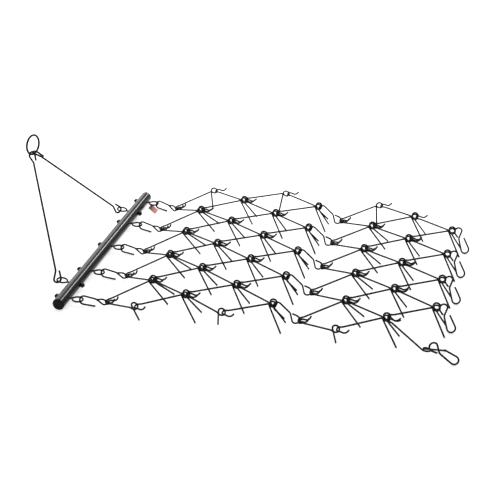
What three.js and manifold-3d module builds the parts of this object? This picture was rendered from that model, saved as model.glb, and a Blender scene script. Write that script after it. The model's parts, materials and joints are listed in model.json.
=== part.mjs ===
// Chain harrow: a round drawbar with eye bolts, a raised tow V with its ring, open S hooks and a
// net of interlocked bent-rod tine links. Millimetres, +X from the drawbar to the rear of the net,
// +Y to the left of the pull, +Z up, and the floor at zero.
import * as THREE from 'three';
import { mergeVertices } from 'three/addons/utils/BufferGeometryUtils.js';
import Module from 'manifold-3d';

const wasm = await Module();
wasm.setup();

// Net layout
const netPitch = 244; // spacing of the S hooks along the first row of links
const linkRun = 180; // from the hook of a tine link to the middle of its coil
const sHookReach = 118; // from the bend of an S hook to the bars in its small eye
const clearance = 0.4; // play between two pieces that touch

// Bent rod of the links and S hooks
const rodSize = 7.4;
const rodSides = 5;
const coilRadius = 15.2; // middle of the rod to the middle of the coil
const coilSteps = 7; // facets in one turn
const coilEntryAngle = -150; // degrees from the rearward direction, counted upwards
const entryBendRadius = 12;
const entryBendAngle = 60;
const hookHalfWidth = 17; // middle of the rod on either leg of a link's hook
const hookCornerRadius = 9;
const hookCornerSteps = 1;
const hookLegLength = 24;
const hookReturnLength = 38;
const tineBack = 41; // tip behind the middle of the coil
const tineSplay = 46; // tip beside the middle of the node
const tineDrop = 107; // tip below the middle of the coil
const outerTineBack = -28; // the same of the links at the two edges of the net, whose coils
const outerTineDrop = 80; // make less than a full turn
const outerCoilTurn = 310; // degrees
const coilStep = rodSize + clearance;
const floorPlay = 0.3; // under what lies on the floor
const looseInset = (rodSize + clearance) / 2; // half the space between two free rods side by side
const weldBite = 2; // depth at which two rods are welded to each other
const weldedInset = (rodSize - weldBite) / 2;

const cornerRoll = 51; // degrees that the hanging corner link has rolled over

// S hooks
const sHookBendRadius = 17.2;
const sHookLegLength = 42;
const sHookEyeLength = 24;
const sHookEyeClosing = -2.5; // middle of the eye's free end above the middle of the eye
const sHookTwist = 55; // degrees between the planes of the hook and of its small eye
const smallEyeRadius = 15.6;
const smallEyeSteps = 4; // facets in half a turn
const frontHookSlack = 4.5; // between an S hook's bend and the eye that holds it
const frontHookTilt = 60; // degrees from level, on the drawbar
const eyeSlack = 7; // between the end of a rear small eye and the inside of the coils
const middleHookTilt = 25; // degrees from level, in the fourth row of coils
const middleHookSlack = 1; // the bend of the hook lies this far behind the middle of the coils
const rearHookTilt = 108; // degrees from level, at the last row of coils
const cornerHookTilt = 100; // degrees from level, behind the hanging corner link
const firstRowHeight = 23; // middle of the hooks in the front S hooks
const middleRowHeight = 43; // middle of the hooks in the middle S hooks

// Drawbar
const tubeSize = 50.8;
const tubeWall = 3.2;
const tubeSides = 20;
const plugSize = 40;
const plugStep = 3; // the plug stands proud of the tube by this much
const plugDepth = 12; // thickness of the plug inside the tube
const eyeSpread = 10; // the rear eyes stand this much further apart than the hooks of the net
const eyePitch = netPitch + eyeSpread;
const barShift = 16; // the bar lies this far to the left of the net
const barOverhang = 64; // tube past the last eyes
const eyeRodSize = 8;
const eyeRadius = 21;
const eyeNeck = 9; // from the ring of the eye to its shank
const eyeOpening = 150; // degrees from the tip of the eye to where the rod enters the ring
const eyeTurn = 310; // degrees of the ring
const eyeSteps = 8;
const boltSides = 5;
const nutWidth = 17; // across the flats
const nutSides = 6;
const nutHeight = 8;
const boltTail = 8; // thread past the nut
const rearEyeTilt = 4.7; // degrees down to the rear
const frontEyeTilt = 8; // degrees up to the front

// Tow V
const towEyeSpacing = 762; // between the two front eyes
const towRodSize = 9;
const towRodSides = 6;
const towHookRadius = 16;
const towHookSteps = 4;
const towFreeLeg = 36;
const towThroat = 38; // from the middle of a hook's bend to where its two legs meet
const towLegClosing = 6; // free leg's end from the middle line of the rod
const towLift = 60; // degrees that the V stands above level
const towReach = 519; // from the front eyes to the middle of the tow ring
const ringRadius = 43;
const ringRodSize = 9.5;
const ringSteps = 18;
const ringSides = 6;
const ringYaw = 14; // degrees that the ring is turned about the vertical
const towSwing = 52; // degrees from straight ahead to where either rod holds its eye
const towPlay = 3; // between a hook and the rod that it goes round
const ringHookAngle = 17; // place of either hook beside the lowest point of the ring

const deg = Math.PI / 180;
const blackPaint = { color: 0x17181a, roughness: 0.42, metalness: 0.35 };
const tubePaint = { color: 0x1c1d20, roughness: 0.34, metalness: 0.35 };
const harrow = new THREE.Group();

function v(x, y, z) {
  return new THREE.Vector3(x, y, z);
}

// A round bar along a line of points: a ring of corners at every point, set square to the bend.
function bar(points, size, sides) {
  const radius = size / 2;
  const positions = [];
  const faces = [];
  const first = points[1].clone().sub(points[0]).normalize();
  const helper = Math.abs(first.y) > Math.abs(first.z) ? v(0, 0, 1) : v(0, 1, 0);
  const level = helper.sub(first.clone().multiplyScalar(helper.dot(first))).normalize();
  points.forEach((point, i) => {
    const before = i === 0 ? point : points[i - 1];
    const after = i === points.length - 1 ? point : points[i + 1];
    const into = (i === 0 ? after.clone().sub(point) : point.clone().sub(before)).normalize();
    const out = (after === point ? point.clone().sub(before) : after.clone().sub(point)).normalize();
    level.sub(into.clone().multiplyScalar(level.dot(into))).normalize();
    const side = into.clone().cross(level);
    const mitre = into.clone().add(out).normalize();
    for (let k = 0; k < sides; k += 1) {
      const turn = (2 * Math.PI * k) / sides;
      const offset = level.clone().multiplyScalar(Math.cos(turn)).addScaledVector(side, Math.sin(turn));
      offset.multiplyScalar(radius);
      offset.addScaledVector(into, -offset.dot(mitre) / into.dot(mitre));
      positions.push(...point.clone().add(offset).toArray());
    }
    level.sub(out.clone().multiplyScalar(level.dot(out))).normalize();
  });
  for (let i = 0; i < points.length - 1; i += 1) {
    for (let k = 0; k < sides; k += 1) {
      const a = i * sides + k;
      const b = i * sides + ((k + 1) % sides);
      faces.push(a, b, b + sides, a, b + sides, a + sides);
    }
  }
  const last = (points.length - 1) * sides;
  for (let k = 1; k < sides - 1; k += 1) {
    faces.push(0, k + 1, k);
    faces.push(last, last + k, last + k + 1);
  }
  const geometry = new THREE.BufferGeometry();
  geometry.setAttribute('position', new THREE.Float32BufferAttribute(positions, 3));
  geometry.setIndex(faces);
  return geometry;
}

function rod(size, length, sides) {
  return new THREE.CylinderGeometry(size / 2, size / 2, length, sides);
}

// Points of an arc about a centre, from one unit direction towards another, both at right angles.
function arc(centre, from, towards, radius, startAngle, endAngle, steps) {
  const points = [];
  for (let i = 0; i <= steps; i += 1) {
    const angle = (startAngle + ((endAngle - startAngle) * i) / steps) * deg;
    const point = centre.clone().addScaledVector(from, radius * Math.cos(angle));
    points.push(point.addScaledVector(towards, radius * Math.sin(angle)));
  }
  return points;
}

function toSolid(geometry) {
  const plain = geometry.clone();
  plain.deleteAttribute('normal');
  plain.deleteAttribute('uv');
  const merged = mergeVertices(plain);
  const mesh = new wasm.Mesh({
    numProp: 3,
    vertProperties: new Float32Array(merged.attributes.position.array),
    triVerts: new Uint32Array(merged.index.array),
  });
  return new wasm.Manifold(mesh);
}

function toGeometry(solid) {
  const mesh = solid.getMesh();
  const geometry = new THREE.BufferGeometry();
  geometry.setAttribute('position', new THREE.Float32BufferAttribute(mesh.vertProperties, 3));
  geometry.setIndex(new THREE.Uint32BufferAttribute(mesh.triVerts, 1));
  return geometry;
}

function join(geometries) {
  return toGeometry(geometries.map(toSolid).reduce((sum, next) => sum.add(next)));
}

function addNode(name, geometry, paint, parent = harrow) {
  const mesh = new THREE.Mesh(geometry, new THREE.MeshStandardMaterial(paint));
  mesh.name = name;
  parent.add(mesh);
  return mesh;
}

// Tine links. A link lies in its own frame: the middle of its hook at the origin, the net level.
// side is 1 for a rod that runs to the left and -1 for its mirror image.
function linkPath(side, hookInset, coilInset, turn = 360, back = tineBack, drop = tineDrop) {
  const level = side * hookInset;
  const corner = v(hookCornerRadius, side * (hookHalfWidth - hookCornerRadius), level);
  const farCorner = v(hookCornerRadius, -side * (hookHalfWidth - hookCornerRadius), level);
  const forward = v(-1, 0, 0);
  const inward = v(0, -side, 0);
  const outward = v(0, side, 0);
  const points = [v(hookReturnLength, -side * hookHalfWidth, level)];
  points.push(...arc(farCorner, inward, forward, hookCornerRadius, 0, 90, hookCornerSteps));
  points.push(...arc(corner, forward, outward, hookCornerRadius, 0, 90, hookCornerSteps));
  points.push(v(hookLegLength, side * hookHalfWidth, level));

  const nodeSide = side * (netPitch / 2);
  const entry = coilEntryAngle * deg;
  const bendMiddle = coilRadius + entryBendRadius;
  const bendCentre = v(linkRun, nodeSide - side * coilInset, 0);
  bendCentre.addScaledVector(v(Math.cos(entry), 0, Math.sin(entry)), bendMiddle);
  const bendStart = (180 + coilEntryAngle + entryBendAngle) * deg;
  const bendOut = v(Math.cos(bendStart), 0, Math.sin(bendStart));
  points.push(bendCentre.clone().addScaledVector(bendOut, entryBendRadius));
  for (let i = 0; i <= coilSteps; i += 1) {
    const angle = entry + (turn * deg * i) / coilSteps;
    const beside = nodeSide - side * (coilInset + (coilStep * i) / coilSteps);
    points.push(v(linkRun + coilRadius * Math.cos(angle), beside, coilRadius * Math.sin(angle)));
  }
  points.push(v(linkRun + back, nodeSide - side * tineSplay, -drop));
  return points;
}

// The same link with its arm, coil and tine rolled over about the line from the hook to the coil.
function rolledLinkPath(side, hookInset, coilInset, roll) {
  const path = linkPath(side, hookInset, coilInset);
  const hookPoints = 2 * (hookCornerSteps + 1) + 2;
  const axis = v(linkRun, side * (netPitch / 2), 0).normalize();
  return path.map((point, i) => (i < hookPoints ? point : point.applyAxisAngle(axis, roll * deg)));
}

function link(side, hookInset, coilInset) {
  return bar(linkPath(side, hookInset, coilInset), rodSize, rodSides);
}

function outerLink(side) {
  const path = linkPath(side, weldedInset, looseInset, outerCoilTurn, outerTineBack, outerTineDrop);
  return bar(path, rodSize, rodSides);
}

// Lowest point of a shape that stands at a place.
function lowest(geometry, matrix) {
  const place = geometry.attributes.position;
  const point = v(0, 0, 0);
  let low = Infinity;
  for (let i = 0; i < place.count; i += 1) {
    low = Math.min(low, point.fromBufferAttribute(place, i).applyMatrix4(matrix).z);
  }
  return low;
}

// Angle between two others at which what turns comes to rest on the floor.
function restAngle(geometry, placeAt, lifted, sunk) {
  let above = lifted;
  let below = sunk;
  for (let i = 0; i < 40; i += 1) {
    const middle = (above + below) / 2;
    if (lowest(geometry, placeAt(middle)) > floorPlay) above = middle;
    else below = middle;
  }
  return above;
}

function pitched(x, y, z, pitch) {
  return new THREE.Matrix4().makeRotationY(-pitch).setPosition(x, y, z);
}

// Rows of the net. Every row stands on its tines, hung by its hooks in the row before it.
const linkCount = 5;
const partingPair = join([link(1, weldedInset, looseInset), link(-1, weldedInset, looseInset)]);
const leftOuterPair = join([outerLink(1), link(-1, weldedInset, looseInset)]);
const rightOuterPair = join([link(1, weldedInset, looseInset), outerLink(-1)]);
const leftLink = link(1, looseInset, weldedInset).translate(0, -netPitch / 2, 0);
const rightLink = link(-1, looseInset, weldedInset).translate(0, netPitch / 2, 0);
const meetingPair = join([leftLink, rightLink]);
const steepest = 35 * deg;

const barHeight = tubeSize / 2;
const eyeWall = eyeRodSize / 2;
const hookRise = sHookBendRadius * Math.sin(frontHookTilt * deg);
const bearHeight = rodSize / 2 + floorPlay + hookRise;
const barX = -eyeWall - (barHeight - bearHeight) / Math.tan(rearEyeTilt * deg);
const bearX = -eyeRodSize - rodSize / 2 - frontHookSlack;
const widestSway = ((linkCount - 1) / 2) * (eyePitch - netPitch) + barShift;

const rows = {};
rows.a = { x: bearX + Math.sqrt(sHookReach ** 2 - widestSway ** 2), z: firstRowHeight };

function nextRow(from, to, pair) {
  const { x, z } = rows[from];
  const pitch = restAngle(pair, (angle) => pitched(x, 0, z, angle), steepest, -steepest);
  rows[from].pitch = pitch;
  rows[to] = { x: x + linkRun * Math.cos(pitch), z: z + linkRun * Math.sin(pitch) };
}

nextRow('a', 'b', partingPair);
nextRow('b', 'c', meetingPair);
nextRow('c', 'd', partingPair);
nextRow('d', 'e', meetingPair);
const middleDrop = rows.e.z - middleRowHeight;
const middlePitch = -Math.asin(middleDrop / sHookReach);
const middleRun = Math.sqrt(sHookReach ** 2 - middleDrop ** 2);
rows.f = { x: rows.e.x + middleHookSlack + middleRun, z: middleRowHeight };
nextRow('f', 'g', partingPair);
nextRow('g', 'h', meetingPair);
nextRow('h', 'i', partingPair);

function across(number) {
  return ((linkCount + 1) / 2 - number) * netPitch;
}

function placeRow(row) {
  const group = new THREE.Group();
  group.position.set(rows[row].x, 0, rows[row].z);
  group.rotation.y = -rows[row].pitch;
  harrow.add(group);
  return group;
}

function addRow(row, pair, firstPair = pair, lastPair = pair) {
  const group = placeRow(row);
  for (let number = 1; number <= linkCount; number += 1) {
    const shape = { 1: firstPair, [linkCount]: lastPair }[number] ?? pair;
    addNode(`tine_links_${row}${number}`, shape, blackPaint, group).position.y = across(number);
  }
}

addRow('a', partingPair, leftOuterPair, rightOuterPair);
addRow('b', meetingPair);
addRow('c', partingPair, leftOuterPair, rightOuterPair);
addRow('d', meetingPair);
addRow('f', partingPair, leftOuterPair, rightOuterPair);
addRow('g', meetingPair);

// The last row lacks the outer link at its left edge, and its outer link at the right hangs down.
const lastRow = placeRow('h');
const leftEdge = link(-1, looseInset, weldedInset).translate(0, netPitch, 0);
const besideLeft = join([link(1, weldedInset, weldedInset), link(-1, weldedInset, looseInset)]);
const rightEdge = link(1, looseInset, weldedInset).translate(0, -netPitch, 0);
const besideRight = join([link(1, weldedInset, looseInset), link(-1, weldedInset, weldedInset)]);
addNode('tine_links_h2', join([leftEdge, besideLeft]), blackPaint, lastRow).position.y = across(2);
addNode('tine_links_h3', partingPair, blackPaint, lastRow).position.y = across(3);
addNode('tine_links_h4', join([rightEdge, besideRight]), blackPaint, lastRow).position.y = across(4);

const cornerLink = bar(rolledLinkPath(-1, looseInset, looseInset, cornerRoll), rodSize, rodSides);
const cornerPlace = (angle) => pitched(rows.h.x, across(linkCount), rows.h.z, angle);
const cornerPitch = restAngle(cornerLink, cornerPlace, steepest, -steepest);
const cornerNode = addNode('tine_link_h5', cornerLink, blackPaint);
cornerNode.applyMatrix4(cornerPlace(cornerPitch));

// S hooks. A hook lies in its own frame: the bend at the origin, the bars of its eye at its reach.
function sHook(tilt) {
  const plane = v(0, Math.cos(tilt * deg), Math.sin(tilt * deg));
  const eyeTurn = (tilt + sHookTwist) * deg;
  const eyePlane = v(0, Math.cos(eyeTurn), Math.sin(eyeTurn));
  const bendCentre = v(sHookBendRadius, 0, 0);
  const forward = v(-1, 0, 0);
  const freeEnd = bendCentre.clone().addScaledVector(plane, -sHookBendRadius);
  freeEnd.x += sHookLegLength;
  const points = [freeEnd];
  points.push(...arc(bendCentre, plane.clone().negate(), forward, sHookBendRadius, 0, 90, 2));
  points.push(...arc(bendCentre, forward, plane, sHookBendRadius, 0, 90, 2).slice(1));
  const eyeCentre = v(sHookReach, 0, 0);
  const eyeStart = eyePlane.clone().negate();
  points.push(...arc(eyeCentre, eyeStart, v(1, 0, 0), smallEyeRadius, 0, 180, smallEyeSteps));
  const closing = eyeCentre.clone().addScaledVector(eyePlane, sHookEyeClosing);
  closing.x -= sHookEyeLength;
  points.push(closing);
  return bar(points, rodSize, rodSides);
}

function hookName(place, number) {
  return `${place}_s_hook_${number}`;
}

const frontHook = sHook(frontHookTilt);
for (let number = 1; number <= linkCount; number += 1) {
  const wall = v(bearX, ((linkCount + 1) / 2 - number) * eyePitch + barShift, bearHeight);
  const bars = v(rows.a.x, across(number), rows.a.z);
  const run = bars.clone().sub(wall).normalize();
  const node = addNode(hookName('front', number), frontHook, blackPaint);
  node.position.copy(bars).addScaledVector(run, -sHookReach);
  node.rotation.set(0, -Math.asin(run.z), Math.atan2(run.y, run.x), 'ZYX');
}

const middleHook = sHook(middleHookTilt);
for (let number = 1; number <= linkCount; number += 1) {
  const node = addNode(hookName('middle', number), middleHook, blackPaint);
  node.position.set(rows.e.x + middleHookSlack, across(number), rows.e.z);
  node.rotation.y = -middlePitch;
}

// The rear S hooks hang by their small eyes in the last coils, the open hooks on the floor.
const coilHole = coilRadius * Math.cos(Math.PI / coilSteps) - rodSize / 2;
const eyeBearing = coilHole - rodSize / 2 - eyeSlack;
const hangingReach = eyeBearing + smallEyeRadius + sHookReach;

// Turn that points a hook's eye against a unit direction square to the row.
function facing(away) {
  const eyeward = away.clone().negate();
  const beside = v(0, 1, 0);
  return new THREE.Matrix4().makeBasis(eyeward, beside, eyeward.clone().cross(beside));
}

function hangingPlace(coil, swing) {
  const down = v(Math.sin(swing), 0, -Math.cos(swing));
  return facing(down).setPosition(coil.clone().addScaledVector(down, hangingReach));
}

const rearHook = sHook(rearHookTilt);
for (let number = 1; number < linkCount; number += 1) {
  const coil = v(rows.i.x, across(number) - netPitch / 2, rows.i.z);
  const swing = restAngle(rearHook, (angle) => hangingPlace(coil, angle), Math.PI / 2, 0);
  addNode(hookName('rear', number), rearHook, blackPaint).applyMatrix4(hangingPlace(coil, swing));
}

// The last S hook lies behind the corner link, with its small eye round the rear of the rolled coil.
const cornerHook = sHook(cornerHookTilt);
const coilMiddle = looseInset - (coilStep * coilEntryAngle) / 360;
const cornerAxis = v(linkRun, -netPitch / 2, 0).normalize();
const cornerCoil = v(linkRun, coilMiddle - netPitch / 2, 0).applyAxisAngle(cornerAxis, cornerRoll * deg);
cornerCoil.applyMatrix4(cornerNode.matrix);

function trailingPlace(swing) {
  const back = v(Math.cos(swing), 0, -Math.sin(swing));
  return facing(back).setPosition(cornerCoil.clone().addScaledVector(back, hangingReach));
}

const cornerSwing = restAngle(cornerHook, trailingPlace, 0, Math.PI / 4);
addNode(hookName('rear', linkCount), cornerHook, blackPaint).applyMatrix4(trailingPlace(cornerSwing));

// Eye bolts. A bolt lies in its own frame: the axis of the tube at the origin, the eye along +X.
const eyeDistance = (-eyeWall - barX) / Math.cos(rearEyeTilt * deg) - eyeRadius;
const nutFace = tubeSize / 2 + floorPlay;

function eyeBolt() {
  const eyeCentre = v(eyeDistance, 0, 0);
  const tail = v(-nutFace - nutHeight - boltTail, 0, 0);
  const neck = v(eyeDistance - eyeRadius - eyeNeck, 0, 0);
  const ring = arc(eyeCentre, v(1, 0, 0), v(0, 1, 0), eyeRadius, eyeOpening, eyeOpening - eyeTurn, eyeSteps);
  const nut = rod(nutWidth / Math.cos(Math.PI / nutSides), nutHeight, nutSides);
  nut.rotateZ(Math.PI / 2).translate(-nutFace - nutHeight / 2, 0, 0);
  return join([bar([tail, neck, ...ring], eyeRodSize, boltSides), nut]);
}

const bolt = eyeBolt();
const rearTurn = new THREE.Matrix4().makeRotationY(rearEyeTilt * deg);
const frontTurn = new THREE.Matrix4().makeRotationY(frontEyeTilt * deg);
frontTurn.multiply(new THREE.Matrix4().makeRotationZ(Math.PI));

function boltPlace(turn, beside) {
  return turn.clone().setPosition(barX, barShift + beside, barHeight);
}

const boltPlaces = [];
for (let number = 1; number <= linkCount; number += 1) {
  const beside = ((linkCount + 1) / 2 - number) * eyePitch;
  boltPlaces.push([`rear_eye_bolt_${number}`, boltPlace(rearTurn, beside)]);
}
const frontPlaces = [1, -1].map((side) => boltPlace(frontTurn, (side * towEyeSpacing) / 2));
boltPlaces.push(['front_eye_bolt_1', frontPlaces[0]], ['front_eye_bolt_2', frontPlaces[1]]);
for (const [name, place] of boltPlaces) {
  addNode(name, bolt, blackPaint).applyMatrix4(place);
}

// Drawbar: a tube closed by two plugs and drilled through for every eye bolt.
const drillSize = (eyeRodSize + 2 * clearance) / Math.cos(Math.PI / boltSides); // over its corners

function drawbarTube() {
  const barLength = (linkCount - 1) * eyePitch + 2 * barOverhang;
  let tube = toSolid(rod(tubeSize, barLength, tubeSides));
  tube = tube.add(toSolid(rod(plugSize, barLength + 2 * plugStep, tubeSides)));
  tube = tube.subtract(toSolid(rod(tubeSize - 2 * tubeWall, barLength - 2 * plugDepth, tubeSides)));
  const toMiddle = new THREE.Matrix4().makeTranslation(-barX, -barShift, -barHeight);
  for (const [, place] of boltPlaces) {
    const drill = rod(drillSize, 2 * tubeSize, boltSides).rotateZ(Math.PI / 2);
    tube = tube.subtract(toSolid(drill.applyMatrix4(place).applyMatrix4(toMiddle)));
  }
  return toGeometry(tube);
}

addNode('drawbar_tube', drawbarTube(), tubePaint).position.set(barX, barShift, barHeight);

// Tow V: two hooked rods from the front eyes to the tow ring.
const frontEyeMiddle = v(eyeDistance, 0, 0).applyMatrix4(boltPlace(frontTurn, 0));
const towAim = v(-Math.cos(towLift * deg), 0, Math.sin(towLift * deg));
const ringMiddle = frontEyeMiddle.clone().addScaledVector(towAim, towReach);
const ringAlong = v(Math.sin(ringYaw * deg), Math.cos(ringYaw * deg), 0);
const upward = v(0, 0, 1);

// Unit direction across a hook: square to its pull and to the rod that it goes round.
function hookAcross(pull, wall) {
  const side = pull.clone().cross(wall).normalize();
  return side.x < 0 ? side.negate() : side;
}

// Points of a hook's free leg and bend, from the free end to where the straight rod starts.
function hookedEnd(held, heldSize, pull, side) {
  const bearing = (heldSize + towRodSize) / 2 + towPlay;
  const centre = held.clone().addScaledVector(pull, towHookRadius - bearing);
  const freeEnd = centre.clone().addScaledVector(side, towLegClosing).addScaledVector(pull, towFreeLeg);
  const bend = arc(centre, side, pull.clone().negate(), towHookRadius, 0, 180, towHookSteps);
  return [freeEnd, ...bend, centre.clone().addScaledVector(pull, towThroat)];
}

function towRod(side, eyePlace) {
  const swing = side * towSwing * deg;
  const eyeOut = v(Math.cos(swing), Math.sin(swing), 0).transformDirection(eyePlace);
  const eyeAlong = v(-Math.sin(swing), Math.cos(swing), 0).transformDirection(eyePlace);
  const eyeHeld = v(eyeDistance, 0, 0).applyMatrix4(eyePlace).addScaledVector(eyeOut, eyeRadius);
  const ringTurn = side * ringHookAngle * deg;
  const ringHeld = ringMiddle.clone().addScaledVector(ringAlong, ringRadius * Math.sin(ringTurn));
  ringHeld.addScaledVector(upward, -ringRadius * Math.cos(ringTurn));
  const ringTangent = ringAlong.clone().multiplyScalar(Math.cos(ringTurn));
  ringTangent.addScaledVector(upward, Math.sin(ringTurn));
  const pull = ringHeld.clone().sub(eyeHeld).normalize();
  const back = pull.clone().negate();
  const lower = hookedEnd(eyeHeld, eyeRodSize, pull, hookAcross(pull, eyeAlong));
  const upper = hookedEnd(ringHeld, ringRodSize, back, hookAcross(pull, ringTangent));
  return bar([...lower, ...upper.reverse()], towRodSize, towRodSides);
}

addNode('tow_rod_1', towRod(1, frontPlaces[0]), blackPaint);
addNode('tow_rod_2', towRod(-1, frontPlaces[1]), blackPaint);

const section = new THREE.Path().absarc(ringRadius, 0, ringRodSize / 2, 0, 2 * Math.PI).getPoints(ringSides);
const ring = new THREE.LatheGeometry(section, ringSteps);
const ringNode = addNode('tow_ring', ring, blackPaint);
ringNode.position.copy(ringMiddle);
ringNode.quaternion.setFromRotationMatrix(
  new THREE.Matrix4().makeBasis(ringAlong, ringAlong.clone().cross(upward).negate(), upward),
);

// The origin lies on the floor under the middle of the whole harrow.
const whole = new THREE.Box3().setFromObject(harrow, true);
const middle = whole.getCenter(v(0, 0, 0));
harrow.position.set(-middle.x, -middle.y, -whole.min.z);

export default harrow;
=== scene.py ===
# %% [markdown]
# A chain harrow is a net of bent steel rods that a small tractor drags over a field. Nearly all of it
# is round bar, bent cold and hooked together, so this lesson is about one skill: drawing the middle
# line of a rod, giving it thickness, and copying it many times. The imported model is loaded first. It
# fixes every size and place, and the pieces made here only dress it.

import json
import math

import bpy
from mathutils import Matrix, Vector


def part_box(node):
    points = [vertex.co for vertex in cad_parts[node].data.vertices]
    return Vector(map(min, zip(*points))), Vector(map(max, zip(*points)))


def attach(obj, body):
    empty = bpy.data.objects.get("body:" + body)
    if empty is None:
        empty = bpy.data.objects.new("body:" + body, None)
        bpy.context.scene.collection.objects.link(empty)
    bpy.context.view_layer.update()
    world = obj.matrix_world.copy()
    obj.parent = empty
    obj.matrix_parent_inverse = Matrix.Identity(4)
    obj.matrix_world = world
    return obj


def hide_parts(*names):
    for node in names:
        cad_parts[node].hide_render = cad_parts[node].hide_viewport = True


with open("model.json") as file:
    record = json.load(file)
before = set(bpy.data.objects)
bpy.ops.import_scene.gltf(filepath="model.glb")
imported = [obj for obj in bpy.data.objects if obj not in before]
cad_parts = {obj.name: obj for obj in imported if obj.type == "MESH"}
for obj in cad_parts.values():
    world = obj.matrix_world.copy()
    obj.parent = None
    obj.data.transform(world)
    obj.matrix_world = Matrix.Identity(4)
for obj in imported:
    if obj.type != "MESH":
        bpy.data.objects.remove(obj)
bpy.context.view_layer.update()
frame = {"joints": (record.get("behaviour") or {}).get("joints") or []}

# %% [markdown]
# The camera comes first, because every later choice is judged through it. The harrow was seen from
# its right-hand side, from about four metres away and two metres up, with a long lens that keeps the
# far side of the net nearly as large as the near side.

# %% Camera
camera_data = bpy.data.cameras.new("camera")
camera_data.lens = 82.98
camera = bpy.data.objects.new("camera", camera_data)
bpy.context.scene.collection.objects.link(camera)
camera.location = (1.0938, -4.3984, 2.2965)
aim = Vector((0.0221, -0.0004, 0.0878)) - camera.location
camera.rotation_mode = "QUATERNION"
camera.rotation_quaternion = aim.to_track_quat("-Z", "Y")
bpy.context.scene.camera = camera
print("camera at", tuple(round(x, 3) for x in camera.location))

# %% [markdown]
# The joints of the frame lie where one row of rods hangs in the next, so they say where each row
# starts and how steeply it leans. Reading them here saves measuring the rows a second time.

# %% Places of the rows
joints = {joint["name"]: Vector(joint["pos_m"]) for joint in frame["joints"]}
row_joints = {
    "a": "row_a_fold",
    "b": "row_b_fold",
    "c": "row_c_fold",
    "d": "row_d_fold",
    "e": "middle_hook_swing",
    "f": "row_f_fold",
    "g": "row_g_fold",
    "h": "row_h_fold",
    "i": "rear_hook_2_swing",
}
rows = {row: joints[name] for row, name in row_joints.items()}
net_middle = rows["a"].y
print({row: (round(place.x, 3), round(place.z, 3)) for row, place in rows.items()})


def between(first, second):
    """Turn and place of a row that runs from one row of hooks to the next."""
    run = rows[second] - rows[first]
    place = Matrix.Rotation(-math.atan2(run.z, run.x), 4, "Y")
    place.translation = (rows[first].x, net_middle, rows[first].z)
    return place


# %% [markdown]
# Sizes of the rods, in metres. The rod of the net is 7.4 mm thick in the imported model. It is drawn 7.8 mm
# thick here, because thin dark lines come out too pale in a small picture. A little play lies between
# two rods side by side. The free leg of a link's hook bows down and up again, which its four points give
# as distances behind and above the seat of the hook.

# %% Sizes
net_pitch = 0.244
link_run = 0.180
rod = 0.0078
play = 0.0004
beside = (rod + play) / 2
hook_half_width = 0.017
coil_radius = 0.0146
coil_entry = math.radians(-150)
tine_back, tine_drop = 0.041, 0.107
outer_turn, outer_tine_back, outer_tine_drop = math.radians(310), -0.028, 0.080
tine_splay = 0.046
return_leg = ((0.050, 0.007), (0.040, -0.004), (0.028, -0.007), (0.018, -0.002))
hook_seat = 0.0055
eye_pitch = 0.254
tow_eye_spacing = 0.762
tube_radius = 0.0254
ring_rod = 0.0095


# %% [markdown]
# A rod is bent on a machine that can't make a sharp corner. So each middle line is first drawn
# roughly, with straight runs and arcs, and then softened: it is cut into short equal steps, and every
# point is drawn towards its two neighbours a few times. Points on straight runs are dropped again,
# which keeps the mesh light where nothing bends.

# %% Middle lines
def arc(centre, start, towards, radius, first, last, steps=10):
    """Points of an arc from one unit direction towards another, angles in degrees."""
    points = []
    for i in range(steps + 1):
        angle = math.radians(first + (last - first) * i / steps)
        points.append(centre + start * (radius * math.cos(angle)) + towards * (radius * math.sin(angle)))
    return points


def softened(corners, step=0.0022, passes=5):
    """The same line in short steps, with its corners rounded and its straight runs thinned out."""
    points = [corners[0]]
    for start, end in zip(corners, corners[1:]):
        cuts = max(1, round((end - start).length / step))
        points += [start.lerp(end, (i + 1) / cuts) for i in range(cuts)]
    for _ in range(passes):
        inner = [(a + b * 2 + c) / 4 for a, b, c in zip(points, points[1:], points[2:])]
        points = [points[0], *inner, points[-1]]
    kept = [points[0]]
    for before, point, after in zip(points, points[1:], points[2:]):
        heading = (point - kept[-1]).normalized()
        if heading.dot((after - point).normalized()) < math.cos(math.radians(2.5)):
            kept.append(point)
    return [*kept, points[-1]]


# %% [markdown]
# A rod gets its thickness from a curve with a round bevel, which is then turned into a mesh. The
# bevel keeps its section square to the line in every bend, which extruding a circle by hand would
# not. The two cut ends are chamfered, because paint pulls back from a sharp rim and shows it.

# %% Rod from a middle line
def nothing_selected():
    bpy.ops.object.select_all(action="DESELECT")


def bent_rod(name, line, thickness, round_steps=2, closed=False):
    """One rod as a mesh at the world origin."""
    nothing_selected()
    bpy.ops.curve.primitive_nurbs_path_add()
    made = bpy.context.object
    made.name = name
    made.matrix_world = Matrix.Identity(4)
    drawn = made.data.splines[0]
    drawn.type = "POLY"
    drawn.points.add(len(line) - len(drawn.points))
    for spot, point in zip(drawn.points, line):
        spot.co = (*point, 1)
    drawn.use_cyclic_u = closed
    made.data.dimensions = "3D"
    made.data.twist_mode = "MINIMUM"
    made.data.bevel_depth = thickness / 2
    made.data.bevel_resolution = round_steps
    made.data.use_fill_caps = not closed
    bpy.ops.object.convert(target="MESH")
    bpy.ops.object.mode_set(mode="EDIT")
    bpy.ops.mesh.select_all(action="SELECT")
    bpy.ops.mesh.remove_doubles(threshold=0.00001)
    bpy.ops.mesh.normals_make_consistent(inside=False)
    bpy.ops.mesh.select_all(action="DESELECT")
    bpy.ops.object.mode_set(mode="OBJECT")
    if not closed:
        chamfer_ends(made, thickness * 0.09)
    bpy.ops.object.shade_smooth_by_angle(angle=math.radians(40))
    return made


def chamfer_ends(made, size):
    for face in made.data.polygons:
        face.select = len(face.vertices) > 4
    bpy.ops.object.mode_set(mode="EDIT")
    bpy.ops.mesh.bevel(offset=size, segments=1)
    bpy.ops.object.mode_set(mode="OBJECT")


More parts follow.
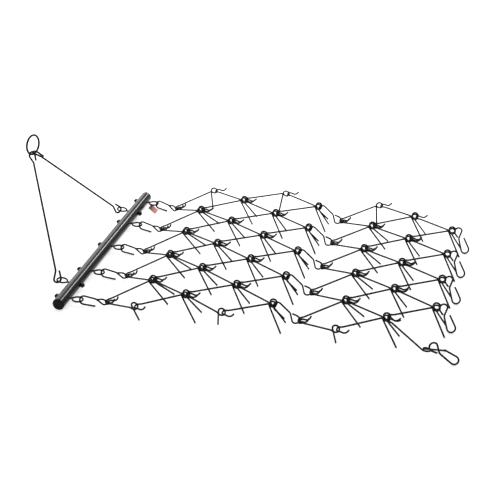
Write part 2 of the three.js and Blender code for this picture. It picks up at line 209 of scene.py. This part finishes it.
def copied(made, name, place):
    """A copy with its own mesh, set to its place in the mesh itself."""
    twin = made.copy()
    twin.data = made.data.copy()
    twin.name = name
    twin.data.transform(place)
    bpy.context.scene.collection.objects.link(twin)
    return twin


def dressed(piece, body, nodes, finish):
    """The piece rides on its body, stands for its nodes and takes its finish."""
    piece.data.materials.clear()
    piece.data.materials.append(finish)
    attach(piece, body)
    if nodes:
        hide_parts(*nodes)


# %% [markdown]
# Black paint on bent bar looks simple and isn't. It pools and thins, so its gloss changes from place
# to place; it has a fine grain like orange peel; and where rods rub on each other it is dulled. Both
# finishes share these effects, so they are made once, as a node group that puts out a colour, a
# roughness and a normal, and each finish sets its own values.

# %% Shared effects of the paint
def paint_effects():
    group = bpy.data.node_groups.new("paint_effects", "ShaderNodeTree")
    ports = group.interface
    ports.new_socket("Paint", in_out="INPUT", socket_type="NodeSocketColor")
    ports.new_socket("Dulled", in_out="INPUT", socket_type="NodeSocketColor")
    amounts = (("Gloss", 0.4), ("Unevenness", 0.1), ("Grain size", 900), ("Grain depth", 0.1), ("Rub", 0.3))
    for port, value in amounts:
        ports.new_socket(port, in_out="INPUT", socket_type="NodeSocketFloat").default_value = value
    ports.new_socket("Colour", in_out="OUTPUT", socket_type="NodeSocketColor")
    ports.new_socket("Roughness", in_out="OUTPUT", socket_type="NodeSocketFloat")
    ports.new_socket("Normal", in_out="OUTPUT", socket_type="NodeSocketVector")
    nodes, links = group.nodes, group.links
    values = nodes.new("NodeGroupInput")
    results = nodes.new("NodeGroupOutput")
    place = nodes.new("ShaderNodeTexCoord")

    cloud = nodes.new("ShaderNodeTexNoise")
    cloud.inputs["Scale"].default_value = 26
    cloud.inputs["Detail"].default_value = 5
    links.new(place.outputs["Object"], cloud.inputs["Vector"])
    rubbed = nodes.new("ShaderNodeTexNoise")
    rubbed.inputs["Scale"].default_value = 140
    rubbed.inputs["Detail"].default_value = 8
    rubbed.inputs["Roughness"].default_value = 0.7
    links.new(place.outputs["Object"], rubbed.inputs["Vector"])
    spots = nodes.new("ShaderNodeMapRange")
    spots.inputs["From Min"].default_value = 0.6
    spots.inputs["From Max"].default_value = 0.78
    links.new(rubbed.outputs["Fac"], spots.inputs["Value"])
    amount = nodes.new("ShaderNodeMath")
    amount.operation = "MULTIPLY"
    links.new(spots.outputs["Result"], amount.inputs[0])
    links.new(values.outputs["Rub"], amount.inputs[1])

    colour = nodes.new("ShaderNodeMix")
    colour.data_type = "RGBA"
    links.new(amount.outputs["Value"], colour.inputs["Factor"])
    links.new(values.outputs["Paint"], colour.inputs[6])
    links.new(values.outputs["Dulled"], colour.inputs[7])
    links.new(colour.outputs[2], results.inputs["Colour"])

    spread = nodes.new("ShaderNodeMath")
    spread.operation = "MULTIPLY_ADD"
    links.new(cloud.outputs["Fac"], spread.inputs[0])
    links.new(values.outputs["Unevenness"], spread.inputs[1])
    links.new(values.outputs["Gloss"], spread.inputs[2])
    rougher = nodes.new("ShaderNodeMath")
    rougher.operation = "MULTIPLY_ADD"
    rougher.inputs[1].default_value = 0.25
    rougher.use_clamp = True
    links.new(amount.outputs["Value"], rougher.inputs[0])
    links.new(spread.outputs["Value"], rougher.inputs[2])
    links.new(rougher.outputs["Value"], results.inputs["Roughness"])

    peel = nodes.new("ShaderNodeTexNoise")
    peel.inputs["Detail"].default_value = 2
    links.new(place.outputs["Object"], peel.inputs["Vector"])
    links.new(values.outputs["Grain size"], peel.inputs["Scale"])
    bump = nodes.new("ShaderNodeBump")
    bump.inputs["Distance"].default_value = 0.0004
    links.new(peel.outputs["Fac"], bump.inputs["Height"])
    links.new(values.outputs["Grain depth"], bump.inputs["Strength"])
    links.new(bump.outputs["Normal"], results.inputs["Normal"])
    return group


effects = paint_effects()
print("shared effects:", len(effects.nodes), "nodes")


# %% [markdown]
# The two finishes are both black. The rods are dipped and a little rougher. The drawbar is a smooth
# tube with a soft, long highlight along its top, so its paint is glossier and its grain finer.

# %% Finishes
def painted(name, paint, dulled, gloss, unevenness, grain_size, grain_depth, rub, shine):
    finish = bpy.data.materials.new(name)
    finish.use_nodes = True
    tree = finish.node_tree
    shader = tree.nodes["Principled BSDF"]
    shared = tree.nodes.new("ShaderNodeGroup")
    shared.node_tree = effects
    shared.inputs["Paint"].default_value = (*paint, 1)
    shared.inputs["Dulled"].default_value = (*dulled, 1)
    shared.inputs["Gloss"].default_value = gloss
    shared.inputs["Unevenness"].default_value = unevenness
    shared.inputs["Grain size"].default_value = grain_size
    shared.inputs["Grain depth"].default_value = grain_depth
    shared.inputs["Rub"].default_value = rub
    tree.links.new(shared.outputs["Colour"], shader.inputs["Base Color"])
    tree.links.new(shared.outputs["Roughness"], shader.inputs["Roughness"])
    tree.links.new(shared.outputs["Normal"], shader.inputs["Normal"])
    shader.inputs["Specular IOR Level"].default_value = shine
    return finish


rod_paint = painted(
    "rod_paint", (0.004, 0.004, 0.0044), (0.016, 0.0155, 0.015), 0.28, 0.20, 1300, 0.16, 0.5, 0.10
)
bar_paint = painted(
    "bar_paint", (0.006, 0.006, 0.0065), (0.018, 0.018, 0.0185), 0.17, 0.10, 1700, 0.012, 0.35, 0.09
)
print("finishes:", rod_paint.name, bar_paint.name)

# %% [markdown]
# One tine link is a single rod with four parts. It starts with a square hook, which hangs in the row
# before it. A straight arm slants out to one side. Then the rod makes one full turn, and this coil is
# the eye in which the next row hooks. What is left points down and back as the tine. At the two edges of
# the net the turn is not quite full, and the tine points forward. The link is drawn level, with the hook
# at the origin, once for each hand.


# %% Middle line of a tine link
def link_line(side, roll=0.0, outer=False):
    """side is 1 for a link that runs to the left, -1 for its mirror image."""
    level = side * beside
    ahead, outward = Vector((-1, 0, 0)), Vector((0, side, 0))
    corner = 0.009
    hook = []
    for x, z in return_leg:
        hook.append(Vector((hook_seat + x, -side * hook_half_width, level + z)))
    for centre_side, start, towards in ((-1, -outward, ahead), (1, ahead, outward)):
        centre = Vector((hook_seat + corner, centre_side * side * (hook_half_width - corner), level))
        hook += arc(centre, start, towards, corner, 0, 90, 5)
    hook.append(Vector((0.024, side * hook_half_width, level)))

    node_side = side * (net_pitch / 2 - beside)
    slope = side * (net_pitch / 2 - hook_half_width) / (link_run - 0.060)
    bend = 0.012
    bend_middle = coil_radius + bend
    eased = bend * math.sin(math.radians(60))
    rest = []
    for i in range(7):
        angle = math.radians(90 - 60 * i / 6)
        left = eased - bend * math.cos(angle)
        x = link_run + bend_middle * math.cos(coil_entry) + bend * math.cos(angle)
        z = bend_middle * math.sin(coil_entry) + bend * math.sin(angle)
        rest.append(Vector((x, node_side - slope * left * left / (2 * eased), z)))
    coil_turn = outer_turn if outer else 2 * math.pi
    for i in range(1, 29):
        angle = coil_entry + coil_turn * i / 28
        y = node_side - side * (rod + play) * i / 28
        rest.append(Vector((link_run + coil_radius * math.cos(angle), y, coil_radius * math.sin(angle))))
    back, drop = (outer_tine_back, outer_tine_drop) if outer else (tine_back, tine_drop)
    rest.append(Vector((link_run + back, side * (net_pitch / 2 - tine_splay), -drop)))
    turn = Matrix.Rotation(roll, 3, Vector((link_run, side * net_pitch / 2, 0)))
    return softened(hook + [turn @ point for point in rest])


links = {1: bent_rod("left_link", link_line(1), rod), -1: bent_rod("right_link", link_line(-1), rod)}
outer_links = {
    1: bent_rod("outer_left_link", link_line(1, outer=True), rod),
    -1: bent_rod("outer_right_link", link_line(-1, outer=True), rod),
}
print("a link has", len(links[1].data.polygons), "faces")

# %% [markdown]
# The net is now laid out by number, as the harrow is in its maker's jig. In the rows a, c, f and h two
# links part from each S hook or coil; in the rows b, d and g two links meet. A copy is cheaper than a
# link made again, and each copy gets its own mesh, so that it can be moved on its own.

# %% Lay out the net


def hang_link(row, next_row, side, hook_place, number, node):
    """A link whose hook is hook_place pitches to the left of the middle of the net."""
    place = between(row, next_row) @ Matrix.Translation((0, hook_place * net_pitch, 0))
    name = f"link_{row}{number}_{'left' if side == 1 else 'right'}"
    at_edge = row in "acf" and (number, side) in ((1, 1), (5, -1))
    piece = copied(outer_links[side] if at_edge else links[side], name, place)
    dressed(piece, f"link_row_{row}", [f"tine_links_{row}{node}"], rod_paint)


pairs_of_rows = (("a", "b", 0), ("b", "c", 1), ("c", "d", 0), ("d", "e", 1), ("f", "g", 0), ("g", "h", 1))
for row, next_row, meeting in pairs_of_rows:
    for number in range(1, 6):
        for side in (1, -1):
            hang_link(row, next_row, side, 3 - number - meeting * side / 2, number, number)
last_row = ((1, -1, 2), (2, 1, 2), (2, -1, 2), (3, 1, 3), (3, -1, 3), (4, 1, 4), (4, -1, 4), (5, 1, 4))
for number, side, node in last_row:
    hang_link("h", "i", side, 3 - number, number, node)

# %% [markdown]
# The outer link at the near rear corner has rolled over in its eye and lies with its tine sideways.
# It is drawn with its arm, coil and tine turned about the line from hook to coil, and then lowered
# until it touches the floor. The search halves the angle between too high and too low, which is how
# one would settle it by hand.


# %% Lower a rod to the floor
def resting(line, place_at, high, low):
    """Place between a high and a low angle at which the rod just touches the floor."""
    for _ in range(30):
        angle = (high + low) / 2
        if min((place_at(angle) @ point).z for point in line) > rod / 2 + 0.0003:
            high = angle
        else:
            low = angle
    return place_at(high)


def pitched(place):
    def turned(angle):
        matrix = Matrix.Rotation(-angle, 4, "Y")
        matrix.translation = place
        return matrix

    return turned


corner_roll = math.radians(51)
corner_line = link_line(-1, corner_roll)
corner_hinge = joints["corner_link_swing"]
corner_place = resting(corner_line, pitched(corner_hinge), math.radians(35), math.radians(-35))
corner_link = bent_rod("corner_link", corner_line, rod)
corner_link.data.transform(corner_place)
dressed(corner_link, "corner_link", ["tine_link_h5"], rod_paint)

# %% [markdown]
# An S hook is one short rod with a wide open hook at one end, which holds the eye or the coils in
# front, and a small eye at the other, nearly closed, like a drop. The small eye stands turned out of the
# plane of the hook, because the bars it holds cross the pull. The front, middle and rear ones have rolled
# over by different angles, and their free legs are spread a little differently, as hand-bent hooks are.

# %% S hooks
hook_radius = 0.0172
hook_reach = 0.118
small_eye = 0.0172
eye_slack = 0.010
free_leg = 0.053


def across_the_pull(degrees):
    """Unit direction square to the pull, turned up from level."""
    turn = math.radians(degrees)
    return Vector((0, math.cos(turn), math.sin(turn)))


def s_hook_line(hook_tilt, eye_tilt, flare_degrees, forward=0.0):
    """The bend lies at the origin and the bars in the small eye at the reach of the hook."""
    plane, eye_plane = across_the_pull(hook_tilt), across_the_pull(eye_tilt)
    ahead = Vector((-1, 0, 0))
    bend = arc(Vector((hook_radius + forward, 0, 0)), -plane, ahead, hook_radius, flare_degrees, 180, 14)
    flare = math.radians(flare_degrees)
    free_end = bend[0] - (ahead * math.cos(flare) + plane * math.sin(flare)) * free_leg
    eye_centre = Vector((hook_reach - eye_slack, 0, 0))
    shank = eye_centre + ahead * 0.031 + plane * 0.0090
    eye = arc(eye_centre, -eye_plane, -ahead, small_eye, -10, 196, 16)
    eye_end = eye_centre + ahead * 0.024 + eye_plane * 0.0120
    return softened([free_end, *bend, shank, *eye, eye_end], passes=6)


def along(start, towards):
    """Turn and place of a hook whose bend is at start and whose eye points towards a direction."""
    run = towards.normalized()
    level = Vector((-run.y, run.x, 0)).normalized()
    matrix = Matrix((run, level, run.cross(level))).transposed().to_4x4()
    matrix.translation = start
    return matrix


def s_hook(name, line, place, body, node):
    hook = bent_rod(name, line, rod)
    hook.data.transform(place)
    dressed(hook, body, [node], rod_paint)


bar_low, bar_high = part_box("drawbar_tube")
bar_middle = (bar_low + bar_high) / 2
eye_wall = joints["front_hook_swing"]
front_line = s_hook_line(66, 112, 3.5, 0.0072)
middle_line = s_hook_line(45, 82, 8, 0.004)
for number in range(1, 6):
    bars = Vector((rows["a"].x, net_middle + (3 - number) * net_pitch, rows["a"].z))
    wall = Vector((eye_wall.x - 0.0122, bar_middle.y + (3 - number) * eye_pitch, eye_wall.z + 0.004))
    run = (bars - wall).normalized()
    place = along(bars - run * hook_reach, run)
    s_hook(f"front_hook_{number}", front_line, place, "front_hooks", f"front_s_hook_{number}")
    coils = Vector((rows["e"].x + 0.001, bars.y, rows["e"].z))
    run = Vector((rows["f"].x, bars.y, rows["f"].z)) - coils
    place = along(coils, run)
    s_hook(f"middle_hook_{number}", middle_line, place, "middle_hooks", f"middle_s_hook_{number}")
print("front and middle S hooks made")

# %% [markdown]
# The last five S hooks hold nothing yet: a second net could be hung in them. They hang by the small eye
# from the near side of the coil, and lean until the open hook meets the floor.

# %% Rear S hooks
hang_length = hook_reach - eye_slack + 0.0195
set_back = 0.0205
lean = math.radians(-12)


def hanging(coil):
    """Places of a hook by its angle behind the upright, its small eye in the coil."""
    def place(angle):
        down = Vector((math.sin(angle), 0, -math.cos(angle)))
        matrix = Matrix((-down, Vector((0, 1, 0)), (-down).cross(Vector((0, 1, 0))))).transposed().to_4x4()
        matrix.translation = coil + down * hang_length
        return matrix

    return place


def leaning(line, hook_tilt):
    """The hook turned a little about its eye and set back, so that the eye hangs from the near wire."""
    plane = across_the_pull(hook_tilt)
    centre = Vector((hook_reach - eye_slack, 0, 0))
    swing = Matrix.Rotation(lean, 3, Vector((1, 0, 0)).cross(plane))
    return [centre - plane * set_back + swing @ (point - centre) for point in line]


rear_line = leaning(s_hook_line(108, 112, -4), 108)
for number in range(1, 5):
    coil = joints[f"rear_hook_{number}_swing"]
    place = resting(rear_line, hanging(coil), math.pi / 2, 0)
    s_hook(f"rear_hook_{number}", rear_line, place, f"rear_hook_{number}", f"rear_s_hook_{number}")
corner_hook_line = leaning(s_hook_line(100, 112, -4), 100)
place = resting(corner_hook_line, hanging(joints["rear_hook_5_swing"]), math.pi / 2, math.pi / 4)
s_hook("rear_hook_5", corner_hook_line, place, "rear_hook_5", "rear_s_hook_5")

# %% [markdown]
# The drawbar is a two-inch steel tube. Its ends are closed by pressed-in plugs with a rounded lip and a
# shallow dish. A cylinder gives the tube its size; its end faces are inset, raised and inset again in
# edit mode, which makes wall, lip and dish from one skin, so that no seam can open between them.

# %% Drawbar
plug_stand = 0.003
wall_steps = ((0.0007, 0.0), (0.0025, -0.0007), (0.0005, 0.0))
plug_steps = ((0.0018, 0.0022), (0.0014, 0.0011), (0.006, 0), (0.0025, -0.0016), (0.006, -0.0002))
end_steps = wall_steps + plug_steps
bar_length = bar_high.y - bar_low.y - 2 * plug_stand
nothing_selected()
bpy.ops.mesh.primitive_cylinder_add(
    vertices=72, radius=tube_radius, depth=bar_length, location=bar_middle, rotation=(math.pi / 2, 0, 0)
)
drawbar = bpy.context.object
drawbar.name = "drawbar"
bpy.ops.object.transform_apply(location=True, rotation=True, scale=True)
bpy.ops.object.mode_set(mode="EDIT")
bpy.ops.mesh.select_all(action="DESELECT")
bpy.ops.object.mode_set(mode="OBJECT")
for end in (1, -1):
    for face in drawbar.data.polygons:
        face.select = len(face.vertices) > 4 and face.normal.y * end > 0.9
    bpy.ops.object.mode_set(mode="EDIT")
    for inward, outward in end_steps:
        bpy.ops.mesh.inset(thickness=inward, depth=0)
        bpy.ops.transform.translate(value=(0, end * outward, 0))
    bpy.ops.mesh.select_all(action="DESELECT")
    bpy.ops.object.mode_set(mode="OBJECT")
bpy.ops.object.shade_smooth_by_angle(angle=math.radians(30))
dressed(drawbar, "drawbar", ["drawbar_tube"], bar_paint)
print("drawbar", round(bar_length, 3), "m long,", len(drawbar.data.polygons), "faces")

# %% [markdown]
# An eye bolt is a rod bent to a ring at one end and threaded at the other. The ring is left a little
# open, as bent eyes are. The thread is a real spiral: a small ridge is turned round the shank by the
# Screw modifier. The nut is a cylinder of six sides whose rims are bevelled.

# %% Eye bolt
eye_radius = 0.021
eye_rod = 0.008
eye_stretch = 0.06
rear_tilt = math.radians(2.2)
front_tilt = math.radians(8)
eye_distance = (eye_wall.x - bar_middle.x) / math.cos(rear_tilt) - eye_radius
nut_face = tube_radius + 0.0003
nut_height = 0.0115
bolt_end = -(nut_face + nut_height + 0.0045)

ring = arc(Vector((eye_distance, 0, 0)), Vector((1, 0, 0)), Vector((0, 1, 0)), eye_radius, 150, -160, 40)
neck = Vector((eye_distance - eye_radius - 0.009, 0, 0))
for point in ring:
    point.x += (point.x - neck.x) * eye_stretch
bolt = bent_rod("bolt", softened([Vector((bolt_end, 0, 0)), neck, *ring]), eye_rod, 3)
print("eye distance", round(eye_distance, 4))


def threaded(length, start):
    """A spiral ridge round the X axis."""
    pitch = 0.00125
    nothing_selected()
    bpy.ops.mesh.primitive_plane_add(size=0.001, location=(0, 0, 0))
    ridge = bpy.context.object
    corners = ((0, 0.0036), (pitch / 2, 0.0041), (pitch, 0.0036), (pitch / 2, 0.0030))
    for vertex, (x, z) in zip(ridge.data.vertices, (corners[0], corners[3], corners[1], corners[2])):
        vertex.co = (start + x, 0, z)
    turn = ridge.modifiers.new("turn", "SCREW")
    turn.axis = "X"
    turn.angle = 2 * math.pi
    turn.screw_offset = pitch
    turn.iterations = int(length / pitch)
    turn.steps = turn.render_steps = 12
    bpy.ops.object.modifier_apply(modifier="turn")
    return ridge


thread = threaded(0.0175, bolt_end + 0.0006)
nothing_selected()
bpy.ops.mesh.primitive_cylinder_add(
    vertices=6, radius=0.0095 / math.cos(math.pi / 6), depth=nut_height, rotation=(0, math.pi / 2, 0)
)
nut = bpy.context.object
nut.location.x = -nut_face - nut_height / 2
bpy.ops.object.transform_apply(location=True, rotation=True, scale=True)
bpy.ops.object.mode_set(mode="EDIT")
bpy.ops.mesh.select_all(action="SELECT")
bpy.ops.mesh.bevel(offset=0.0007, segments=2)
bpy.ops.object.mode_set(mode="OBJECT")
nothing_selected()
for part in (thread, nut, bolt):
    part.select_set(True)
bpy.context.view_layer.objects.active = bolt
bpy.ops.object.join()
bpy.ops.object.shade_smooth_by_angle(angle=math.radians(35))

# %% [markdown]
# Five eye bolts look to the rear and two, for the tow rods, to the front. Each slopes a little towards
# what it holds, as the bar has rolled under the weight of the net.

# %% Place the eye bolts
def bolt_place(beside_middle, tilt, forward):
    place = Matrix.Rotation(tilt, 4, "Y")
    if forward:
        place = place @ Matrix.Rotation(math.pi, 4, "Z")
    place.translation = bar_middle + Vector((0, beside_middle, 0))
    return place


for number in range(1, 6):
    piece = copied(bolt, f"rear_bolt_{number}", bolt_place((3 - number) * eye_pitch, rear_tilt, False))
    dressed(piece, "drawbar", [f"rear_eye_bolt_{number}"], rod_paint)
front_places = [bolt_place(side * tow_eye_spacing / 2, front_tilt, True) for side in (1, -1)]
for number, place in enumerate(front_places, 1):
    piece = copied(bolt, f"front_bolt_{number}", place)
    dressed(piece, "drawbar", [f"front_eye_bolt_{number}"], rod_paint)

# %% [markdown]
# The tow ring is a rod bent round and welded shut. A torus gives its form. The weld is left as a slight
# swelling low on one side, where a smith would turn it away from the pull.

# %% Tow ring
ring_low, ring_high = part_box("tow_ring")
ring_middle = (ring_low + ring_high) / 2
ring_radius = 0.043
ring_yaw = math.radians(14)
ring_along = Vector((math.sin(ring_yaw), math.cos(ring_yaw), 0))
nothing_selected()
bpy.ops.mesh.primitive_torus_add(
    major_segments=96, minor_segments=18, major_radius=ring_radius, minor_radius=ring_rod / 2
)
tow_ring = bpy.context.object
tow_ring.name = "ring"
for vertex in tow_ring.data.vertices:
    angle = math.atan2(vertex.co.y, vertex.co.x) - math.radians(200)
    angle = math.atan2(math.sin(angle), math.cos(angle))
    core = Vector((vertex.co.x, vertex.co.y, 0)).normalized() * ring_radius
    swelling = 1 + 0.10 * math.exp(-((angle * ring_radius / 0.0028) ** 2)) * (1 + 0.3 * math.sin(angle * 160))
    vertex.co = core + (vertex.co - core) * swelling
upright = Matrix((ring_along, Vector((0, 0, 1)), ring_along.cross(Vector((0, 0, 1))))).transposed().to_4x4()
upright.translation = ring_middle
tow_ring.data.transform(upright)
bpy.ops.object.shade_smooth_by_angle(angle=math.radians(40))
dressed(tow_ring, "tow_ring", ["tow_ring"], rod_paint)

# %% [markdown]
# Each tow rod is straight, with an open hook at both ends: the lower one in its front eye, the upper
# one in the ring. The hooks lie square to the rod that they hold, so their plane is found from the
# pull and from the direction of that rod. The near rod holds its eye nearly straight ahead, and the far
# one has slid round to the side.

# %% Tow rods
tow_rod_size = 0.009
tow_hook = 0.016
eye_swings = {1: math.radians(52), -1: math.radians(18)}


def hooked_end(held, held_size, pull, held_along):
    across = pull.cross(held_along).normalized()
    if across.x < 0:
        across = -across
    bearing = (held_size + tow_rod_size) / 2 + 0.003
    centre = held + pull * (tow_hook - bearing)
    free_end = centre + across * (tow_hook - 0.001) + pull * 0.034
    return [free_end, *arc(centre, across, -pull, tow_hook, 0, 180, 14), centre + pull * 0.038]


for number, (side, place) in enumerate(zip((1, -1), front_places), 1):
    swing = eye_swings[side]
    turn = place.to_3x3()
    eye_out = turn @ Vector((math.cos(swing), math.sin(swing), 0))
    eye_along = turn @ Vector((-math.sin(swing), math.cos(swing), 0))
    eye_held = place @ Vector((eye_distance, 0, 0)) + eye_out * eye_radius
    ring_turn = side * math.radians(17)
    up = Vector((0, 0, 1))
    ring_out = ring_along * math.sin(ring_turn) - up * math.cos(ring_turn)
    ring_held = ring_middle + ring_out * ring_radius
    ring_tangent = ring_along * math.cos(ring_turn) + up * math.sin(ring_turn)
    pull = (ring_held - eye_held).normalized()
    lower = hooked_end(eye_held, eye_rod, pull, eye_along)
    upper = hooked_end(ring_held, ring_rod, -pull, ring_tangent)
    tow_rod = bent_rod(f"tow_bar_{number}", softened(lower + upper[::-1]), tow_rod_size, 3)
    dressed(tow_rod, "tow_v", [f"tow_rod_{number}"], rod_paint)
    print("tow rod", number, "pulls", round((ring_held - eye_held).length, 3), "m")

# %% [markdown]
# A small plain hang tag is tied to the far eye of the drawbar and lies half on the floor. It is a sheet
# of card: a plane, cut finer, curled a little, given a thickness by Solidify and rounded by Bevel.

# %% Hang tag
tag_foot = Vector((bar_middle.x + 0.036, bar_middle.y + 0.493, 0.002))
tag_run = Vector((0.054, -0.061, 0))
tag_rise = Vector((0.0135, 0.0110, 0.0190))
tag_face = tag_run.cross(tag_rise).normalized()
nothing_selected()
bpy.ops.mesh.primitive_grid_add(x_subdivisions=16, y_subdivisions=6, size=1)
tag = bpy.context.object
tag.name = "hang_tag"
for vertex in tag.data.vertices:
    x, y = vertex.co.x + 0.5, vertex.co.y + 0.5
    curl = 0.0022 * math.sin(math.pi * x) + 0.0008 * x * y
    vertex.co = tag_foot + tag_run * x + tag_rise * y + tag_face * curl
thick = tag.modifiers.new("thick", "SOLIDIFY")
thick.thickness = 0.0005
bpy.ops.object.modifier_apply(modifier="thick")
rim = tag.modifiers.new("rim", "BEVEL")
rim.width = 0.00015
rim.segments = 2
rim.limit_method = "ANGLE"
bpy.ops.object.modifier_apply(modifier="rim")
bpy.ops.object.shade_smooth_by_angle(angle=math.radians(40))

nothing_selected()
bpy.ops.mesh.primitive_torus_add(major_segments=32, minor_segments=8, major_radius=0.0068, minor_radius=0.0006)
tie = bpy.context.object
tie.name = "tag_tie"
tie_place = Matrix.Rotation(math.radians(80), 4, "Y")
tie_place.translation = Vector((tag_foot.x + 0.0125, tag_foot.y + 0.0125, 0.0215))
tie.data.transform(tie_place)
bpy.ops.object.shade_smooth()

tag_card = bpy.data.materials.new("tag_card")
tag_card.use_nodes = True
tree = tag_card.node_tree
shader = tree.nodes["Principled BSDF"]
place = tree.nodes.new("ShaderNodeTexCoord")
fibres = tree.nodes.new("ShaderNodeTexNoise")
fibres.inputs["Scale"].default_value = 300
fibres.inputs["Detail"].default_value = 6
across = tree.nodes.new("ShaderNodeSeparateXYZ")
# The card is painted darker red at the end beside the drawbar and paler pink towards its far end, with fibre
# noise through the blend.
along_the_card = tree.nodes.new("ShaderNodeMath")
along_the_card.operation = "MULTIPLY_ADD"
along_the_card.inputs[1].default_value = 0.25
tint = tree.nodes.new("ShaderNodeMix")
tint.data_type = "RGBA"
tint.inputs[6].default_value = (0.22, 0.055, 0.045, 1)
tint.inputs[7].default_value = (0.80, 0.40, 0.34, 1)
tree.links.new(place.outputs["Object"], fibres.inputs["Vector"])
tree.links.new(place.outputs["UV"], across.inputs["Vector"])
tree.links.new(fibres.outputs["Fac"], along_the_card.inputs[0])
tree.links.new(across.outputs["X"], along_the_card.inputs[2])
tree.links.new(along_the_card.outputs["Value"], tint.inputs["Factor"])
tree.links.new(tint.outputs[2], shader.inputs["Base Color"])
shader.inputs["Roughness"].default_value = 0.55
for piece in (tag, tie):
    piece.data.materials.append(tag_card)
    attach(piece, "drawbar")

# %% [markdown]
# Four links and one eye bolt were only patterns to copy from, so they are put away before the picture.

# %% Put the patterns away
for pattern in (*links.values(), *outer_links.values(), bolt):
    bpy.data.objects.remove(pattern)

# %% [markdown]
# The harrow lies on a plain pale floor in even studio light. Floor and world show white to the camera,
# to reflections and through glass, while the floor still takes a soft shadow. A weak wide lamp hangs
# above, and a stronger one stands past the far end of the drawbar. A long narrow one beyond the far side
# of the net faces the drawbar and draws the bright streak along the tube.

# %% Floor and light
def seen_or_mirrored(tree):
    """One for rays from the camera, from reflections and through glass, nothing for light on the object."""
    rays = tree.nodes.new("ShaderNodeLightPath")
    total = rays.outputs["Is Camera Ray"]
    for kind in ("Is Glossy Ray", "Is Transmission Ray"):
        either = tree.nodes.new("ShaderNodeMath")
        either.operation = "MAXIMUM"
        tree.links.new(total, either.inputs[0])
        tree.links.new(rays.outputs[kind], either.inputs[1])
        total = either.outputs["Value"]
    return total


nothing_selected()
bpy.ops.mesh.primitive_plane_add(size=30)
floor = bpy.context.object
floor.name = "floor"
floor_paper = bpy.data.materials.new("floor_paper")
floor_paper.use_nodes = True
tree = floor_paper.node_tree
shader = tree.nodes["Principled BSDF"]
shader.inputs["Base Color"].default_value = (0.62, 0.62, 0.62, 1)
shader.inputs["Roughness"].default_value = 0.9
glow_level = tree.nodes.new("ShaderNodeMath")
glow_level.operation = "MULTIPLY"
glow_level.inputs[1].default_value = 0.60
tree.links.new(seen_or_mirrored(tree), glow_level.inputs[0])
tree.links.new(glow_level.outputs["Value"], shader.inputs["Emission Strength"])
shader.inputs["Emission Color"].default_value = (1, 1, 1, 1)
floor.data.materials.append(floor_paper)

world = bpy.data.worlds.new("studio")
bpy.context.scene.world = world
world.use_nodes = True
tree = world.node_tree
sky = tree.nodes["Background"]
sky.inputs["Color"].default_value = (1, 1, 1, 1)
level = tree.nodes.new("ShaderNodeMapRange")
level.inputs["To Min"].default_value = 0.55
level.inputs["To Max"].default_value = 1.0
tree.links.new(seen_or_mirrored(tree), level.inputs["Value"])
tree.links.new(level.outputs["Result"], sky.inputs["Strength"])


def strip(place, target, length, width, power):
    """A long narrow lamp along Y that faces the drawbar."""
    data = bpy.data.lights.new("strip", "AREA")
    data.shape = "RECTANGLE"
    data.size, data.size_y = width, length
    data.energy = power
    made = bpy.data.objects.new("strip", data)
    bpy.context.scene.collection.objects.link(made)
    facing = Vector((target[0] - place[0], 0, target[2] - place[2])).normalized()
    side = Vector((0, 1, 0)).cross(-facing)
    matrix = Matrix((side, Vector((0, 1, 0)), -facing)).transposed().to_4x4()
    matrix.translation = place
    made.matrix_world = matrix


def lamp(name, place, target, size, power):
    data = bpy.data.lights.new(name, "AREA")
    data.shape = "RECTANGLE"
    data.size, data.size_y = size
    data.energy = power
    made = bpy.data.objects.new(name, data)
    bpy.context.scene.collection.objects.link(made)
    made.location = place
    made.rotation_mode = "QUATERNION"
    made.rotation_quaternion = (Vector(target) - Vector(place)).to_track_quat("-Z", "Y")


lamp("overhead", (-0.6, 0.6, 3.2), (0, 0, 0), (3.0, 2.2), 24)
lamp("left", (-3.0, 3.4, 2.2), (-0.6, 0.0, 0), (3.4, 2.6), 110)
strip((0.47, 4.0, 2.35), (-0.65, 0.0, 0.03), 2.8, 0.48, 210)
bpy.context.scene.view_settings.view_transform = "Standard"
